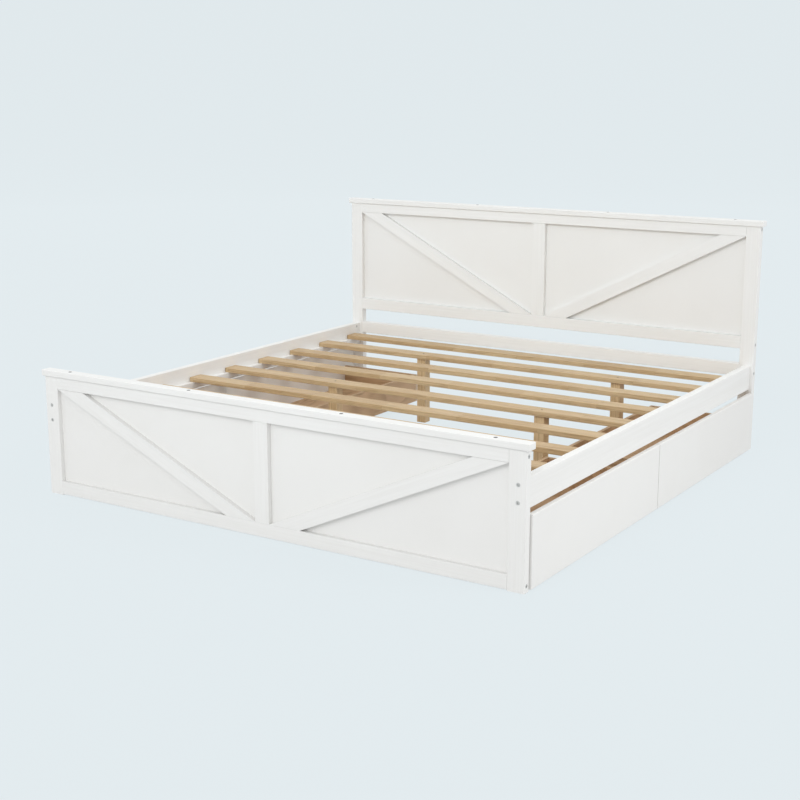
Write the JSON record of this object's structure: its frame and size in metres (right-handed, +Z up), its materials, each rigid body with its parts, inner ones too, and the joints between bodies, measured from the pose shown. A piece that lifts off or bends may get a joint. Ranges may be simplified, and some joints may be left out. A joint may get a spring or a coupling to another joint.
{
  "type": "wooden bed frame with drawers",
  "caption": "White-painted wooden king-size bed frame with braced panel headboard and footboard, bolted side rails, wooden slats on ledgers and rolling under-bed drawers.",
  "frame": {"origin": "on the floor, under the middle of the bed", "axes": "+X across the bed to the right as seen from the footboard, +Y from footboard to headboard, +Z up"},
  "size_m": [2.09, 2.116, 0.985],
  "materials": {
    "white_paint": "satin white paint",
    "slat_wood": "planed softwood, clear sealed",
    "drawer_wood": "plywood, clear sealed",
    "zinc_steel": "zinc plated",
    "dark_steel": "black phosphate",
    "wheel_plastic": "moulded, matt"
  },
  "bodies": {
    "frame": {"barrel_nuts": "zinc_steel", "bed_bolts": "zinc_steel", "cap_bolts": "zinc_steel", "foot_bottom_rail": "white_paint", "foot_brace_left": "white_paint", "foot_brace_right": "white_paint", "foot_cap": "white_paint", "foot_panel": "white_paint", "foot_post_left": "white_paint", "foot_post_right": "white_paint", "foot_stile": "white_paint", "foot_top_rail": "white_paint", "head_brace_left": "white_paint", "head_brace_right": "white_paint", "head_cap": "white_paint", "head_cross_rail": "white_paint", "head_panel": "white_paint", "head_panel_rail": "white_paint", "head_post_left": "white_paint", "head_post_right": "white_paint", "head_stile": "white_paint", "head_top_rail": "white_paint", "ledger_screws": "dark_steel", "leg_screws": "dark_steel", "rail_end_bolts": "zinc_steel", "side_rail_left": "white_paint", "side_rail_right": "white_paint", "slat_ledger_left": "white_paint", "slat_ledger_right": "white_paint", "slat_screws": "dark_steel", "slats": "slat_wood", "support_legs": "slat_wood"},
    "drawer_left_head": {"drawer_left_head_back": "drawer_wood", "drawer_left_head_bottom": "drawer_wood", "drawer_left_head_castor_forks": "zinc_steel", "drawer_left_head_front": "white_paint", "drawer_left_head_sides": "drawer_wood"},
    "drawer_left_head_front_wheels": {"drawer_left_head_front_wheels": "wheel_plastic"},
    "drawer_left_head_back_wheels": {"drawer_left_head_back_wheels": "wheel_plastic"},
    "drawer_left_foot": {"drawer_left_foot_back": "drawer_wood", "drawer_left_foot_bottom": "drawer_wood", "drawer_left_foot_castor_forks": "zinc_steel", "drawer_left_foot_front": "white_paint", "drawer_left_foot_sides": "drawer_wood"},
    "drawer_left_foot_front_wheels": {"drawer_left_foot_front_wheels": "wheel_plastic"},
    "drawer_left_foot_back_wheels": {"drawer_left_foot_back_wheels": "wheel_plastic"},
    "drawer_right_head": {"drawer_right_head_back": "drawer_wood", "drawer_right_head_bottom": "drawer_wood", "drawer_right_head_castor_forks": "zinc_steel", "drawer_right_head_front": "white_paint", "drawer_right_head_sides": "drawer_wood"},
    "drawer_right_head_front_wheels": {"drawer_right_head_front_wheels": "wheel_plastic"},
    "drawer_right_head_back_wheels": {"drawer_right_head_back_wheels": "wheel_plastic"},
    "drawer_right_foot": {"drawer_right_foot_back": "drawer_wood", "drawer_right_foot_bottom": "drawer_wood", "drawer_right_foot_castor_forks": "zinc_steel", "drawer_right_foot_front": "white_paint", "drawer_right_foot_sides": "drawer_wood"},
    "drawer_right_foot_front_wheels": {"drawer_right_foot_front_wheels": "wheel_plastic"},
    "drawer_right_foot_back_wheels": {"drawer_right_foot_back_wheels": "wheel_plastic"}
  },
  "joints": [
    {"name": "drawer_left_head_slide", "type": "slide", "parent": "frame", "child": "drawer_left_head", "axis": [-1, 0, 0], "range_m": [0, 0.36]},
    {"name": "drawer_left_head_front_wheels_spin", "type": "hinge", "parent": "drawer_left_head", "child": "drawer_left_head_front_wheels", "pos_m": [-0.962, 0.5085, 0.018], "axis": [0, -1, 0], "range_deg": [0, 1146]},
    {"name": "drawer_left_head_back_wheels_spin", "type": "hinge", "parent": "drawer_left_head", "child": "drawer_left_head_back_wheels", "pos_m": [-0.668, 0.5085, 0.018], "axis": [0, -1, 0], "range_deg": [0, 1146]},
    {"name": "drawer_left_foot_slide", "type": "slide", "parent": "frame", "child": "drawer_left_foot", "axis": [-1, 0, 0], "range_m": [0, 0.36]},
    {"name": "drawer_left_foot_front_wheels_spin", "type": "hinge", "parent": "drawer_left_foot", "child": "drawer_left_foot_front_wheels", "pos_m": [-0.962, -0.5085, 0.018], "axis": [0, -1, 0], "range_deg": [0, 1146]},
    {"name": "drawer_left_foot_back_wheels_spin", "type": "hinge", "parent": "drawer_left_foot", "child": "drawer_left_foot_back_wheels", "pos_m": [-0.668, -0.5085, 0.018], "axis": [0, -1, 0], "range_deg": [0, 1146]},
    {"name": "drawer_right_head_slide", "type": "slide", "parent": "frame", "child": "drawer_right_head", "axis": [1, 0, 0], "range_m": [0, 0.36]},
    {"name": "drawer_right_head_front_wheels_spin", "type": "hinge", "parent": "drawer_right_head", "child": "drawer_right_head_front_wheels", "pos_m": [0.962, 0.5085, 0.018], "axis": [0, 1, 0], "range_deg": [0, 1146]},
    {"name": "drawer_right_head_back_wheels_spin", "type": "hinge", "parent": "drawer_right_head", "child": "drawer_right_head_back_wheels", "pos_m": [0.668, 0.5085, 0.018], "axis": [0, 1, 0], "range_deg": [0, 1146]},
    {"name": "drawer_right_foot_slide", "type": "slide", "parent": "frame", "child": "drawer_right_foot", "axis": [1, 0, 0], "range_m": [0, 0.36]},
    {"name": "drawer_right_foot_front_wheels_spin", "type": "hinge", "parent": "drawer_right_foot", "child": "drawer_right_foot_front_wheels", "pos_m": [0.962, -0.5085, 0.018], "axis": [0, 1, 0], "range_deg": [0, 1146]},
    {"name": "drawer_right_foot_back_wheels_spin", "type": "hinge", "parent": "drawer_right_foot", "child": "drawer_right_foot_back_wheels", "pos_m": [0.668, -0.5085, 0.018], "axis": [0, 1, 0], "range_deg": [0, 1146]}
  ],
  "couplings": [
    {"joint": "drawer_left_head_front_wheels_spin", "follows": "drawer_left_head_slide", "rad_per_m": 55.556},
    {"joint": "drawer_left_head_back_wheels_spin", "follows": "drawer_left_head_slide", "rad_per_m": 55.556},
    {"joint": "drawer_left_foot_front_wheels_spin", "follows": "drawer_left_foot_slide", "rad_per_m": 55.556},
    {"joint": "drawer_left_foot_back_wheels_spin", "follows": "drawer_left_foot_slide", "rad_per_m": 55.556},
    {"joint": "drawer_right_head_front_wheels_spin", "follows": "drawer_right_head_slide", "rad_per_m": 55.556},
    {"joint": "drawer_right_head_back_wheels_spin", "follows": "drawer_right_head_slide", "rad_per_m": 55.556},
    {"joint": "drawer_right_foot_front_wheels_spin", "follows": "drawer_right_foot_slide", "rad_per_m": 55.556},
    {"joint": "drawer_right_foot_back_wheels_spin", "follows": "drawer_right_foot_slide", "rad_per_m": 55.556}
  ]
}
